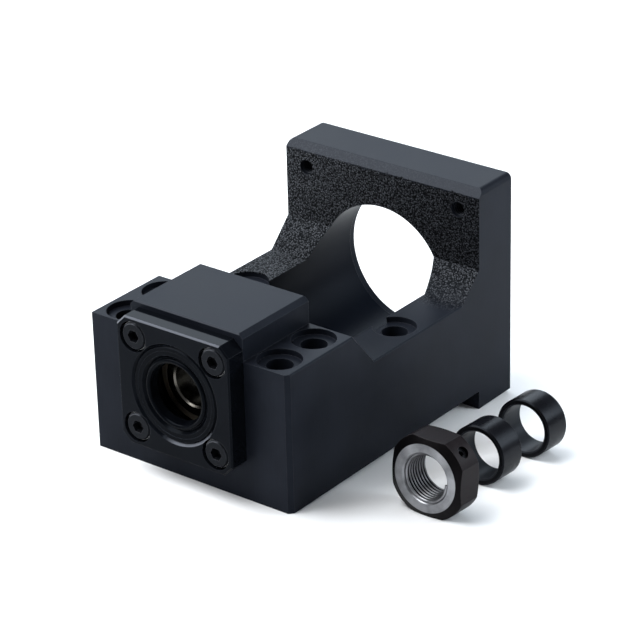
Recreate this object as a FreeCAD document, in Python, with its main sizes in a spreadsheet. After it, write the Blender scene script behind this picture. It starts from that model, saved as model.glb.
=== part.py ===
"""Motor mount for a ball screw drive, with its built-in bearing block.

A one-piece bracket carries a motor plate at its rear and a bearing block at its front. The block holds a
pair of angular contact bearings behind a square cover, with an oil seal at each end. The lock nut and the
two collars that clamp the bearings on the screw lie in a row beside the bracket.

The frame is in millimetres: X across, Y from the cover towards the motor, Z up. The origin is on the base
face, at the centre of the block's four base bolts.
"""
import FreeCAD
import Part
import Sketcher

import math
import operator
import os

# Driving sizes of the bracket
BRACKET = {
    "body_width": 60.0,
    "body_length": 91.0,
    "axis_height": 25.0,
    "block_depth": 25.0,
    "shoulder_height": 36.5,
    "hump_width": 34.0,
    "hump_height": 43.5,
    "hump_bevel": 1.2,
    "corner_bevel": 1.1,
    "edge_break": 0.35,
    "wall_height": 26.8,
    "web_rise": 7.0,
    "plate_thickness": 14.0,
    "plate_height": 60.0,
    "plate_bevel": 2.0,
    "plate_corner": 1.6,
    "trough_radius": 18.4,
    "pilot_radius": 19.05,
    "pilot_depth": 3.0,
    "pilot_bevel": 0.5,
}

# Driving sizes of the bolt holes
HOLES = {
    "base_spacing": 46.0,
    "base_pitch": 13.0,
    "rear_base_place": 38.5,
    "base_hole_radius": 3.3,
    "spot_radius": 5.5,
    "spot_depth": 1.5,
    "motor_spacing": 47.14,
    "motor_hole_radius": 2.0,
    "motor_hole_depth": 12.0,
}

# Driving sizes of the cover, its screws and the seals
COVER = {
    "cover_width": 34.0,
    "cover_thickness": 5.5,
    "cover_corner": 2.6,
    "cover_break": 0.4,
    "spigot_length": 2.0,
    "spigot_clearance": 0.1,
    "screw_spacing": 24.04,
    "screw_radius": 2.0,
    "screw_length": 10.0,
    "screw_hole_depth": 13.0,
    "head_radius": 3.5,
    "head_height": 4.0,
    "head_recess": 0.2,
    "head_bevel": 0.4,
    "head_clearance": 0.5,
    "shank_clearance": 0.25,
    "thread_clearance": 0.05,
    "socket_flats": 3.0,
    "socket_depth": 2.2,
    "seal_radius": 12.5,
    "seal_width": 4.5,
    "seal_recess": 0.2,
    "seal_clearance": 0.02,
    "seal_bevel": 0.4,
    "pocket_bevel": 0.6,
    "throat_radius": 11.2,
    "case_radius": 11.2,
    "case_step": 0.1,
    "band_radius": 10.1,
    "groove_depth": 0.8,
    "bead_pitch": 8.5,
    "bead_radius": 0.7,
    "lip_depth": 2.4,
    "lip_interference": 0.2,
}

# Driving sizes of the bearing pair
BEARING = {
    "bore_radius": 6.0,
    "bearing_radius": 14.0,
    "bearing_width": 8.0,
    "ring_gap": 0.1,
    "housing_clearance": 0.02,
    "inner_shoulder": 8.3,
    "outer_shoulder": 11.7,
    "counterbore_depth": 0.6,
    "ring_bevel": 0.4,
    "ball_pitch": 10.0,
    "ball_radius": 2.38,
    "race_clearance": 0.04,
    "cage_thickness": 1.4,
    "cage_width": 6.2,
    "pocket_clearance": 0.1,
}

# Driving sizes of the lock nut and the collars, and their places along the row beside the bracket
CLAMPING_SET = {
    "row_offset": 54.0,
    "nut_offset": 54.25,
    "nut_place": 19.2,
    "middle_collar_place": 41.2,
    "rear_collar_place": 60.7,
    "nut_flats": 19.65,
    "nut_diameter": 21.6,
    "nut_length": 8.6,
    "nut_face_radius": 8.65,
    "nut_bevel": 1.1,
    "thread_radius": 6.15,
    "thread_bevel": 0.35,
    "set_screw_radius": 1.5,
    "set_screw_sink": 0.9,
    "set_screw_length": 2.6,
    "set_socket_flats": 1.5,
    "set_socket_depth": 1.3,
    "set_screw_clearance": 0.05,
    "pad_sink": 0.3,
    "collar_radius": 7.58,
    "collar_bore_clearance": 0.08,
    "collar_length": 8.0,
    "collar_bevel": 0.3,
}

BALLS = 10
SIDES = (-1, 1)
OPERATIONS = {"+": operator.add, "-": operator.sub, "*": operator.mul, "/": operator.truediv}


class Formula:
    """A number together with the sheet formula that gives it."""

    def __init__(self, text, value):
        self.text = text
        self.value = value

    def __add__(self, other):
        return combine(self, "+", other)

    def __sub__(self, other):
        return combine(self, "-", other)

    def __mul__(self, other):
        return combine(self, "*", other)

    def __rmul__(self, other):
        return combine(self, "*", other)

    def __truediv__(self, other):
        return combine(self, "/", other)

    def __neg__(self):
        return combine(self, "*", -1)


def as_formula(number):
    """Give a plain number the form of a formula."""
    if isinstance(number, Formula):
        return number
    return Formula(repr(number), number)


def combine(left, sign, right):
    """Join two formulas with one sign of arithmetic."""
    right = as_formula(right)
    result = OPERATIONS[sign](left.value, right.value)
    return Formula(f"({left.text} {sign} {right.text})", result)


def hypotenuse(one, other):
    """Length of the long side of a right triangle."""
    return Formula(f"hypot({one.text}; {other.text})", math.hypot(one.value, other.value))


def fill_sheet(document):
    """Write every driving size into the document's sheet and return the formulas that read them."""
    sheet = document.addObject("Spreadsheet::Sheet", "sizes")
    formulas = {}
    groups = (BRACKET, HOLES, COVER, BEARING, CLAMPING_SET)
    named = [item for group in groups for item in group.items()]
    for row, (alias, number) in enumerate(named, start=1):
        sheet.set(f"A{row}", alias)
        sheet.set(f"B{row}", str(number))
        sheet.setAlias(f"B{row}", alias)
        formulas[alias] = Formula(f"sizes.{alias}", number)
    document.recompute()
    return formulas


def bind(thing, field, formula):
    """Tie one field of an object to a formula."""
    thing.setExpression(field, as_formula(formula).text)


def new_body(label):
    """Start a body with a label of its own."""
    body = doc.addObject("PartDesign::Body", label)
    body.Label = label
    return body


def place(thing, across, along, up):
    """Put a sub-part's own origin at a place in the shared frame."""
    for axis, formula in zip("xyz", (across, along, up)):
        bind(thing, f"Placement.Base.{axis}", formula)


def new_sketch(body, name, role, lift=None, rise=None):
    """Attach a sketch to one of the body's origin planes, lifted off it or with its origin raised in it."""
    plane = next(feature for feature in body.Origin.OriginFeatures if feature.Role == role)
    sketch = body.newObject("Sketcher::SketchObject", name)
    sketch.AttachmentSupport = (plane, [""])
    sketch.MapMode = "FlatFace"
    if lift is not None:
        bind(sketch, "AttachmentOffset.Base.z", lift)
    if rise is not None:
        bind(sketch, "AttachmentOffset.Base.y", rise)
    return sketch


def pin_point(sketch, geometry, point, spot):
    """Hold a point of a sketch at a distance across and a distance up from the sketch's origin."""
    for kind, distance in zip(("DistanceX", "DistanceY"), spot):
        formula = as_formula(distance)
        index = sketch.addConstraint(Sketcher.Constraint(kind, -1, 1, geometry, point, formula.value))
        bind(sketch, f"Constraints[{index}]", formula)


def draw_polygon(sketch, corners):
    """Draw a closed outline with straight sides."""
    spots = [[as_formula(distance) for distance in corner] for corner in corners]
    points = [FreeCAD.Vector(across.value, up.value, 0.0) for across, up in spots]
    count = len(points)
    lines = []
    for index in range(count):
        side = Part.LineSegment(points[index], points[(index + 1) % count])
        lines.append(sketch.addGeometry(side, False))
    for index in range(count):
        follower = lines[(index + 1) % count]
        sketch.addConstraint(Sketcher.Constraint("Coincident", lines[index], 2, follower, 1))
    for line, spot in zip(lines, spots):
        pin_point(sketch, line, 1, spot)


def draw_circle(sketch, spot, radius):
    """Draw a circle about a spot of a sketch."""
    across, up = [as_formula(distance) for distance in spot]
    radius = as_formula(radius)
    centre = FreeCAD.Vector(across.value, up.value, 0.0)
    ring = sketch.addGeometry(Part.Circle(centre, FreeCAD.Vector(0.0, 0.0, 1.0), radius.value), False)
    pin_point(sketch, ring, 3, (across, up))
    index = sketch.addConstraint(Sketcher.Constraint("Radius", ring, radius.value))
    bind(sketch, f"Constraints[{index}]", radius)


def draw_hexagon(sketch, spot, flats):
    """Draw a hexagon about a spot, given its width across flats."""
    across, up = [as_formula(distance) for distance in spot]
    corner = flats / math.sqrt(3.0)
    turns = [math.radians(60.0 * step) for step in range(6)]
    draw_polygon(sketch, [(across + corner * math.cos(turn), up + corner * math.sin(turn)) for turn in turns])


def extrude(body, kind, name, sketch, length=None, both_ways=False, backwards=False):
    """Pad or pocket a sketch by a length, or cut it right through where no length is given."""
    feature = body.newObject(f"PartDesign::{kind}", name)
    feature.Profile = sketch
    feature.Reversed = backwards
    if both_ways:
        feature.SideType = "Symmetric"
    if length is None:
        feature.Type = "ThroughAll"
    else:
        bind(feature, "Length", length)
    sketch.Visibility = False
    return feature


def turn(body, kind, name, sketch):
    """Turn a sketch round its own horizontal axis, as added or as removed material."""
    feature = body.newObject(f"PartDesign::{kind}", name)
    feature.Profile = sketch
    feature.ReferenceAxis = (sketch, ["H_Axis"])
    feature.Angle = 360.0
    sketch.Visibility = False
    return feature


def dress_edges(body, kind, name, field, size, chosen):
    """Chamfer or fillet the edges of the body's last feature that a test chooses."""
    doc.recompute()
    base = body.Tip
    names = [f"Edge{number}" for number, edge in enumerate(base.Shape.Edges, start=1) if chosen(edge)]
    feature = body.newObject(f"PartDesign::{kind}", name)
    feature.Base = (base, names)
    bind(feature, field, size)
    return feature


def lies_on(edge, axis, distance):
    """Tell whether both ends of an edge are at one distance along an axis."""
    return all(abs(getattr(vertex.Point, axis) - distance) < 1e-4 for vertex in edge.Vertexes)


def runs_along(edge, axis):
    """Tell whether an edge is a straight line along an axis."""
    if len(edge.Vertexes) != 2:
        return False
    step = edge.Vertexes[1].Point - edge.Vertexes[0].Point
    return abs(abs(getattr(step, axis)) - step.Length) < 1e-4


doc = FreeCAD.newDocument("motor_mount")
size = fill_sheet(doc)

# Places that several pieces share
half_width = size["body_width"] / 2
block_rear = size["block_depth"] / 2
block_front = -block_rear
motor_face = size["body_length"] - block_rear
plate_front = motor_face - size["plate_thickness"]
plate_top = size["axis_height"] + size["plate_height"] / 2
plate_bottom = size["axis_height"] - size["plate_height"] / 2
cover_face = block_front - size["cover_thickness"]
pocket_depth = size["seal_width"] + size["seal_recess"]
ring_seat = block_front + size["spigot_length"]
shoulder_seat = ring_seat + size["bearing_width"] * 2 + size["ring_gap"]
half_screws = size["screw_spacing"] / 2
lip_radius = size["collar_radius"] - size["lip_interference"]


def make_bracket():
    """Make the one-piece bracket: bearing block, side walls, webs and motor plate."""
    body = new_body("bracket_body")
    outline = new_sketch(body, "bracket_outline", "YZ_Plane")
    draw_polygon(outline, [
        (block_front, 0),
        (plate_front, 0),
        (plate_front, plate_bottom),
        (motor_face, plate_bottom),
        (motor_face, plate_top),
        (plate_front + size["plate_bevel"], plate_top),
        (plate_front, plate_top - size["plate_bevel"]),
        (plate_front, size["wall_height"] + size["web_rise"]),
        (plate_front - size["web_rise"], size["wall_height"]),
        (block_rear, size["wall_height"]),
        (block_rear, size["shoulder_height"]),
        (block_front, size["shoulder_height"]),
    ])
    extrude(body, "Pad", "bracket_blank", outline, size["body_width"], both_ways=True)

    half_hump = size["hump_width"] / 2
    hump = new_sketch(body, "hump_outline", "XZ_Plane")
    draw_polygon(hump, [
        (-half_hump, size["axis_height"]),
        (half_hump, size["axis_height"]),
        (half_hump, size["hump_height"] - size["hump_bevel"]),
        (half_hump - size["hump_bevel"], size["hump_height"]),
        (size["hump_bevel"] - half_hump, size["hump_height"]),
        (-half_hump, size["hump_height"] - size["hump_bevel"]),
    ])
    extrude(body, "Pad", "hump", hump, size["block_depth"], both_ways=True)

    dress_edges(body, "Fillet", "plate_corners", "Radius", size["plate_corner"], is_plate_corner)
    dress_edges(body, "Chamfer", "block_corner", "Size", size["corner_bevel"], is_block_corner)
    dress_edges(body, "Chamfer", "broken_edges", "Size", size["edge_break"], is_outer_edge)
    cut_bore(body)
    drill_base(body)
    drill_block(body)
    drill_plate(body)
    return body


def is_plate_corner(edge):
    """Choose the long top corners of the motor plate."""
    return lies_on(edge, "z", plate_top.value) and runs_along(edge, "y")


def is_upright(edge, side):
    """Choose the upright front corner at one side of the bearing block."""
    at_front = lies_on(edge, "y", block_front.value)
    return at_front and runs_along(edge, "z") and lies_on(edge, "x", side * half_width.value)


def is_block_corner(edge):
    """Choose the block's upright front corner at the right, which has the wide bevel."""
    return is_upright(edge, 1)


def is_at_side(edge):
    """Choose edges in the bracket's outer side faces."""
    return any(lies_on(edge, "x", sign * half_width.value) for sign in SIDES)


def is_outer_edge(edge):
    """Choose the tops' outer edges, the hump's two end edges and the block's upright corner at the left."""
    tops = (size["shoulder_height"].value, size["wall_height"].value)
    on_top = is_at_side(edge) and runs_along(edge, "y") and any(lies_on(edge, "z", top) for top in tops)
    hump_end = lies_on(edge, "z", size["hump_height"].value) and runs_along(edge, "x")
    return on_top or hump_end or is_upright(edge, -1)


def cut_bore(body):
    """Cut the stepped bore on the screw's axis, from the bearing seat to the motor's pilot recess."""
    profile = new_sketch(body, "bore_profile", "YZ_Plane", rise=size["axis_height"])
    seat_radius = size["bearing_radius"] + size["housing_clearance"]
    seal_seat = size["seal_radius"] + size["seal_clearance"]
    seal_floor = block_rear - pocket_depth
    pilot_floor = motor_face - size["pilot_depth"]
    draw_polygon(profile, [
        (block_front, 0),
        (block_front, seat_radius),
        (shoulder_seat, seat_radius),
        (shoulder_seat, size["throat_radius"]),
        (seal_floor, size["throat_radius"]),
        (seal_floor, seal_seat),
        (block_rear, seal_seat),
        (block_rear, size["trough_radius"]),
        (pilot_floor, size["trough_radius"]),
        (pilot_floor, size["pilot_radius"]),
        (motor_face - size["pilot_bevel"], size["pilot_radius"]),
        (motor_face, size["pilot_radius"] + size["pilot_bevel"]),
        (motor_face, 0),
    ])
    turn(body, "Groove", "bore", profile)


def drill_base(body):
    """Drill the six base holes and cut a spot face round the top of each."""
    half = size["base_spacing"] / 2
    front_spots = [(half * side, size["base_pitch"] / 2 * end) for side in SIDES for end in SIDES]
    rear_spots = [(half * side, size["rear_base_place"]) for side in SIDES]
    holes = new_sketch(body, "base_hole_places", "XY_Plane")
    for spot in front_spots + rear_spots:
        draw_circle(holes, spot, size["base_hole_radius"])
    extrude(body, "Pocket", "base_holes", holes, backwards=True)
    levels = (("block", size["shoulder_height"], front_spots), ("wall", size["wall_height"], rear_spots))
    for name, level, spots in levels:
        floor = new_sketch(body, f"{name}_spot_places", "XY_Plane", lift=level - size["spot_depth"])
        for spot in spots:
            draw_circle(floor, spot, size["spot_radius"])
        extrude(body, "Pocket", f"{name}_spot_faces", floor, backwards=True)


def drill_block(body):
    """Drill the cover's four screw holes in the block's front face."""
    places = new_sketch(body, "screw_hole_places", "XZ_Plane", lift=-block_front)
    for side in SIDES:
        for level in SIDES:
            spot = (half_screws * side, size["axis_height"] + half_screws * level)
            draw_circle(places, spot, size["screw_radius"] + size["thread_clearance"])
    extrude(body, "Pocket", "screw_holes", places, size["screw_hole_depth"])


def drill_plate(body):
    """Drill the motor's upper holes through the plate and its lower ones blind from the motor face."""
    half = size["motor_spacing"] / 2
    for name, level, depth in (("upper", 1, None), ("lower", -1, size["motor_hole_depth"])):
        places = new_sketch(body, f"{name}_motor_hole_places", "XZ_Plane", lift=-motor_face)
        for side in SIDES:
            spot = (half * side, size["axis_height"] + half * level)
            draw_circle(places, spot, size["motor_hole_radius"])
        extrude(body, "Pocket", f"{name}_motor_holes", places, depth, backwards=True)


def make_cover():
    """Make the square cover with its spigot, seal pocket and counterbored screw holes."""
    body = new_body("bearing_cover")
    half = size["cover_width"] / 2
    inner = half - size["cover_corner"]
    outline = new_sketch(body, "cover_outline", "XZ_Plane")
    draw_polygon(outline, [
        (half, -inner), (half, inner), (inner, half), (-inner, half),
        (-half, inner), (-half, -inner), (-inner, -half), (inner, -half),
    ])
    extrude(body, "Pad", "cover_blank", outline, size["cover_thickness"])
    dress_edges(body, "Chamfer", "cover_edges", "Size", size["cover_break"],
                lambda edge: lies_on(edge, "y", -size["cover_thickness"].value))

    spigot = new_sketch(body, "spigot_outline", "XZ_Plane")
    draw_circle(spigot, (0, 0), size["bearing_radius"] - size["spigot_clearance"])
    extrude(body, "Pad", "spigot", spigot, size["spigot_length"], backwards=True)

    pocket = new_sketch(body, "pocket_profile", "YZ_Plane")
    wall = size["seal_radius"] + size["seal_clearance"]
    floor = pocket_depth - size["cover_thickness"]
    draw_polygon(pocket, [
        (-size["cover_thickness"], 0),
        (-size["cover_thickness"], wall + size["pocket_bevel"]),
        (size["pocket_bevel"] - size["cover_thickness"], wall),
        (floor, wall),
        (floor, size["throat_radius"]),
        (size["spigot_length"], size["throat_radius"]),
        (size["spigot_length"], 0),
    ])
    turn(body, "Groove", "seal_pocket", pocket)

    spots = [(half_screws * side, half_screws * level) for side in SIDES for level in SIDES]
    shanks = new_sketch(body, "shank_places", "XZ_Plane", lift=size["cover_thickness"])
    heads = new_sketch(body, "head_places", "XZ_Plane", lift=size["cover_thickness"])
    for spot in spots:
        draw_circle(shanks, spot, size["screw_radius"] + size["shank_clearance"])
        draw_circle(heads, spot, size["head_radius"] + size["head_clearance"])
    extrude(body, "Pocket", "shank_holes", shanks, size["cover_thickness"])
    extrude(body, "Pocket", "head_seats", heads, size["head_height"] + size["head_recess"])
    place(body, 0, block_front, size["axis_height"])
    return body


def make_screw(label, side, level):
    """Make one socket head screw, seated in the cover."""
    body = new_body(label)
    profile = new_sketch(body, f"{label}_profile", "YZ_Plane")
    head, shank, bevel = size["head_radius"], size["screw_radius"], size["head_bevel"]
    draw_polygon(profile, [
        (-size["head_height"], 0),
        (-size["head_height"], head - bevel),
        (bevel - size["head_height"], head),
        (0, head),
        (0, shank),
        (size["screw_length"] - bevel, shank),
        (size["screw_length"], shank - bevel),
        (size["screw_length"], 0),
    ])
    turn(body, "Revolution", f"{label}_blank", profile)
    socket = new_sketch(body, f"{label}_socket_outline", "XZ_Plane", lift=size["head_height"])
    draw_hexagon(socket, (0, 0), size["socket_flats"])
    extrude(body, "Pocket", f"{label}_socket", socket, size["socket_depth"])
    seat = cover_face + size["head_recess"] + size["head_height"]
    place(body, half_screws * side, seat, size["axis_height"] + half_screws * level)
    return body


def group(label, members):
    """Gather identical pieces as one sub-part of separate solids."""
    compound = doc.addObject("Part::Compound", label)
    compound.Label = label
    compound.Links = members
    return compound


def make_screws():
    """Make the four screws of the cover."""
    corners = [(side, level) for side in SIDES for level in SIDES]
    screws = [make_screw(f"screw_{number}", *corner) for number, corner in enumerate(corners, start=1)]
    return group("cover_screws", screws)


def make_seal(label, outside, inwards):
    """Make an oil seal whose outer face is at a place on the axis, with its lip pointing inwards."""
    body = new_body(label)
    profile = new_sketch(body, f"{label}_profile", "YZ_Plane")
    band, depth = size["band_radius"], size["groove_depth"]
    bead_outer = size["bead_pitch"] + size["bead_radius"]
    bead_inner = size["bead_pitch"] - size["bead_radius"]
    corners = [
        (size["case_step"], band),
        (size["case_step"], size["case_radius"]),
        (0, size["case_radius"]),
        (0, size["seal_radius"] - size["seal_bevel"]),
        (size["seal_bevel"], size["seal_radius"]),
        (size["seal_width"], size["seal_radius"]),
        (size["seal_width"], band),
        (size["lip_depth"], band),
        (size["lip_depth"], bead_outer),
        (size["lip_depth"] + depth, size["bead_pitch"]),
        (size["lip_depth"], lip_radius),
        (depth, bead_inner),
        (depth, band - depth),
    ]
    draw_polygon(profile, [(as_formula(along) * inwards, radius) for along, radius in corners])
    turn(body, "Revolution", f"{label}_ring", profile)
    bead = new_sketch(body, f"{label}_bead_outline", "YZ_Plane")
    draw_circle(bead, (depth * inwards, size["bead_pitch"]), size["bead_radius"])
    turn(body, "Revolution", f"{label}_bead", bead)
    place(body, 0, outside, size["axis_height"])
    return body


def cut_race(body, label):
    """Cut the ball groove round a ring."""
    race = new_sketch(body, f"{label}_race_outline", "YZ_Plane")
    draw_circle(race, (0, size["ball_pitch"]), size["ball_radius"] + size["race_clearance"])
    turn(body, "Groove", f"{label}_race", race)


def make_inner_ring(label):
    """Make a bearing's inner ring about its own middle."""
    body = new_body(label)
    half = size["bearing_width"] / 2
    bevel = size["ring_bevel"]
    profile = new_sketch(body, f"{label}_profile", "YZ_Plane")
    draw_polygon(profile, [
        (-half, size["bore_radius"] + bevel),
        (-half, size["inner_shoulder"]),
        (half, size["inner_shoulder"]),
        (half, size["bore_radius"] + bevel),
        (half - bevel, size["bore_radius"]),
        (bevel - half, size["bore_radius"]),
    ])
    turn(body, "Revolution", f"{label}_blank", profile)
    cut_race(body, label)
    return body


def make_outer_ring(label, open_end):
    """Make a bearing's outer ring, whose shoulder is cut back towards its open end."""
    body = new_body(label)
    half = size["bearing_width"] / 2
    bevel = size["ring_bevel"]
    cut_back = size["outer_shoulder"] + size["counterbore_depth"]
    profile = new_sketch(body, f"{label}_profile", "YZ_Plane")
    corners = [
        (-half, size["outer_shoulder"]),
        (-half, size["bearing_radius"] - bevel),
        (bevel - half, size["bearing_radius"]),
        (half - bevel, size["bearing_radius"]),
        (half, size["bearing_radius"] - bevel),
        (half, cut_back),
        (0, cut_back),
        (0, size["outer_shoulder"]),
    ]
    draw_polygon(profile, [(as_formula(along) * open_end, radius) for along, radius in corners])
    turn(body, "Revolution", f"{label}_blank", profile)
    cut_race(body, label)
    return body


def make_cage(label):
    """Make a bearing's cage, a ring with one round pocket for each ball."""
    body = new_body(label)
    half = size["cage_width"] / 2
    inner = size["ball_pitch"] - size["cage_thickness"] / 2
    outer = size["ball_pitch"] + size["cage_thickness"] / 2
    profile = new_sketch(body, f"{label}_profile", "YZ_Plane")
    draw_polygon(profile, [(-half, inner), (-half, outer), (half, outer), (half, inner)])
    turn(body, "Revolution", f"{label}_ring", profile)
    pocket = new_sketch(body, f"{label}_pocket_outline", "XY_Plane")
    draw_circle(pocket, (0, 0), size["ball_radius"] + size["pocket_clearance"])
    hole = extrude(body, "Pocket", f"{label}_pocket", pocket, size["bearing_radius"], backwards=True)
    pattern = body.newObject("PartDesign::PolarPattern", f"{label}_pockets")
    pattern.Originals = [hole]
    axis = next(feature for feature in body.Origin.OriginFeatures if feature.Role == "Y_Axis")
    pattern.Axis = (axis, [""])
    pattern.Angle = 360.0
    pattern.Occurrences = BALLS
    body.Tip = pattern
    return body


def make_balls(label, middle):
    """Make a bearing's balls, evenly spaced round the axis."""
    balls = []
    for number in range(BALLS):
        ball = doc.addObject("Part::Sphere", f"{label}_{number + 1}")
        bind(ball, "Radius", size["ball_radius"])
        angle = 2.0 * math.pi * number / BALLS
        across = size["ball_pitch"] * math.sin(angle)
        up = size["axis_height"] + size["ball_pitch"] * math.cos(angle)
        place(ball, across, middle, up)
        balls.append(ball)
    return group(label, balls)


def make_bearing(name, middle, open_end):
    """Make one angular contact bearing about a middle place on the axis."""
    rings = [
        make_outer_ring(f"{name}_outer_ring", open_end),
        make_inner_ring(f"{name}_inner_ring"),
        make_cage(f"{name}_cage"),
    ]
    for ring in rings:
        place(ring, 0, middle, size["axis_height"])
    return rings + [make_balls(f"{name}_balls", middle)]


def lay_in_row(thing, across, along, height):
    """Lay a piece on the table beside the bracket.

    The plate reaches below the base face, so the bracket stands on its front lower edge and the plate's,
    and the table slopes down towards the plate.
    """
    drop = -plate_bottom
    reach = plate_front - block_front
    slope = hypotenuse(drop, reach)
    level_part, drop_part = reach / slope, drop / slope
    place(
        thing,
        across,
        block_front + along * level_part + height * drop_part,
        height * level_part - along * drop_part,
    )
    thing.Placement = FreeCAD.Placement(thing.Placement.Base, FreeCAD.Rotation(FreeCAD.Vector(1, 0, 0), -1.0))
    thing.setExpression("Placement.Rotation.Angle", f"-atan({drop.text} / {reach.text})")


def new_corner_sketch(body, name, radius):
    """Attach a sketch square to the nut's upper right corner, at a radius from its axis."""
    sketch = new_sketch(body, name, "XY_Plane")
    sketch.AttachmentOffset = FreeCAD.Placement(FreeCAD.Vector(), FreeCAD.Rotation(FreeCAD.Vector(0, 1, 0), 45.0))
    bind(sketch, "AttachmentOffset.Base.x", as_formula(radius) * math.sqrt(0.5))
    bind(sketch, "AttachmentOffset.Base.z", as_formula(radius) * math.sqrt(0.5))
    return sketch


def make_lock_nut():
    """Make the lock nut: a square with round corners, a raised face and a set screw hole in one corner."""
    body = new_body("lock_nut")
    half = size["nut_flats"] / 2
    length = size["nut_length"]
    outline = new_sketch(body, "nut_outline", "XZ_Plane")
    draw_polygon(outline, [(-half, -half), (half, -half), (half, half), (-half, half)])
    extrude(body, "Pad", "nut_blank", outline, length, backwards=True)

    corner = size["nut_diameter"] / 2
    beyond = size["nut_flats"]
    rounding = new_sketch(body, "nut_rounding_profile", "YZ_Plane")
    draw_polygon(rounding, [
        (0, size["nut_face_radius"]),
        (size["nut_bevel"], corner),
        (length - size["nut_bevel"], corner),
        (length, size["nut_face_radius"]),
        (length, beyond),
        (0, beyond),
    ])
    turn(body, "Groove", "nut_rounding", rounding)

    bore = new_sketch(body, "nut_bore_profile", "YZ_Plane")
    mouth = size["thread_radius"] + size["thread_bevel"]
    draw_polygon(bore, [
        (0, 0),
        (0, mouth),
        (size["thread_bevel"], size["thread_radius"]),
        (length - size["thread_bevel"], size["thread_radius"]),
        (length, mouth),
        (length, 0),
    ])
    turn(body, "Groove", "nut_bore", bore)

    hole = new_corner_sketch(body, "set_screw_hole_place", 0)
    draw_circle(hole, (0, length / 2), size["set_screw_radius"] + size["set_screw_clearance"])
    extrude(body, "Pocket", "set_screw_hole", hole, size["nut_diameter"], backwards=True)
    lay_with_nut(body)
    return body


def lay_with_nut(thing):
    """Lay the lock nut, or a piece inside it, in its place in the row."""
    lay_in_row(thing, size["nut_offset"], size["nut_place"], size["nut_flats"] / 2)


def make_set_screw():
    """Make the lock nut's set screw, sunk in the nut's corner."""
    body = new_body("nut_set_screw")
    top = size["nut_diameter"] / 2 - size["set_screw_sink"]
    spot = (0, size["nut_length"] / 2)
    end = new_corner_sketch(body, "set_screw_end", top - size["set_screw_length"])
    draw_circle(end, spot, size["set_screw_radius"])
    extrude(body, "Pad", "set_screw_blank", end, size["set_screw_length"])
    socket = new_corner_sketch(body, "set_screw_socket_outline", top)
    draw_hexagon(socket, spot, size["set_socket_flats"])
    extrude(body, "Pocket", "set_screw_socket", socket, size["set_socket_depth"])
    lay_with_nut(body)
    return body


def make_set_pad():
    """Make the soft pad between the set screw and the screw's thread."""
    body = new_body("nut_set_pad")
    low = size["thread_radius"] + size["pad_sink"]
    high = size["nut_diameter"] / 2 - size["set_screw_sink"] - size["set_screw_length"]
    end = new_corner_sketch(body, "pad_end", low)
    draw_circle(end, (0, size["nut_length"] / 2), size["set_screw_radius"])
    extrude(body, "Pad", "pad", end, high - low)
    lay_with_nut(body)
    return body


def make_collar(label, along):
    """Make one spacer collar for the screw's journal."""
    body = new_body(label)
    bore = size["bore_radius"] + size["collar_bore_clearance"]
    outer = size["collar_radius"]
    length = size["collar_length"]
    bevel = size["collar_bevel"]
    profile = new_sketch(body, f"{label}_profile", "YZ_Plane")
    draw_polygon(profile, [
        (0, bore + bevel),
        (0, outer - bevel),
        (bevel, outer),
        (length - bevel, outer),
        (length, outer - bevel),
        (length, bore + bevel),
        (length - bevel, bore),
        (bevel, bore),
    ])
    turn(body, "Revolution", f"{label}_ring", profile)
    lay_in_row(body, size["row_offset"], along, outer)
    return body


def check(pieces):
    """Stop where an object of the document failed or a piece has no valid shape."""
    broken = [thing.Label for thing in doc.Objects if {"Invalid", "Error"} & set(thing.State)]
    broken += [piece.Label for piece in pieces if piece.Shape.isNull() or not piece.Shape.isValid()]
    if broken:
        raise RuntimeError("not built: " + ", ".join(broken))


front_middle = ring_seat + size["bearing_width"] / 2
rear_middle = front_middle + size["bearing_width"] + size["ring_gap"]
pieces = [
    make_bracket(),
    make_cover(),
    make_screws(),
    make_seal("front_oil_seal", cover_face + size["seal_recess"], 1),
    make_seal("rear_oil_seal", block_rear - size["seal_recess"], -1),
]
pieces += make_bearing("front_bearing", front_middle, -1)
pieces += make_bearing("rear_bearing", rear_middle, 1)
pieces += [
    make_lock_nut(),
    make_set_screw(),
    make_set_pad(),
    make_collar("front_collar", size["middle_collar_place"]),
    make_collar("rear_collar", size["rear_collar_place"]),
]
doc.recompute()
check(pieces)

os.makedirs("parts", exist_ok=True)
for piece in pieces:
    piece.Shape.exportStep(f"parts/{piece.Label}.step")
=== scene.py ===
"""Looks of the ball screw motor mount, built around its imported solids.

Every node gets a procedural finish. The bracket's shoulders get the slopes that lead down to the walls, the plain
bores that carry threads get their ridges and the cover screws get their knurled heads. A table, soft light and the
photograph's camera are set around the whole. Lengths are in metres, in the frame of the solids: X across, Y from
the cover towards the motor, Z up.
"""

import functools
import logging
import math
from abc import ABC, abstractmethod
from dataclasses import dataclass, replace
from enum import Enum

import bmesh
import bpy
from mathutils import Matrix, Vector


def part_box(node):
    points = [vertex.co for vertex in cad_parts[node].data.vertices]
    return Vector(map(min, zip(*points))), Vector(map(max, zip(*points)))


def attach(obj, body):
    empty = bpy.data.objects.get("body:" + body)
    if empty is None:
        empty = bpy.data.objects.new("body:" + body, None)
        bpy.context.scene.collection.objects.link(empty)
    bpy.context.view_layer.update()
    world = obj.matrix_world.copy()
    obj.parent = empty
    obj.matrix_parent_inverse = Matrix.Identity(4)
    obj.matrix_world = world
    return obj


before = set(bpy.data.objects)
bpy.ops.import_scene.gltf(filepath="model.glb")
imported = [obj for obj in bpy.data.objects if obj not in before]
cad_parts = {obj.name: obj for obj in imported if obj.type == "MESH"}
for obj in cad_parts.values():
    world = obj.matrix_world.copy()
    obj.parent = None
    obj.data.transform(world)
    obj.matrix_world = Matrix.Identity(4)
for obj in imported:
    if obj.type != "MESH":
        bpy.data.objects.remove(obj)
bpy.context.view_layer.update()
LOG = logging.getLogger("motor_mount")
AXIS_HEIGHT = 0.025
PLATE_THICKNESS = 0.014
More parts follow.
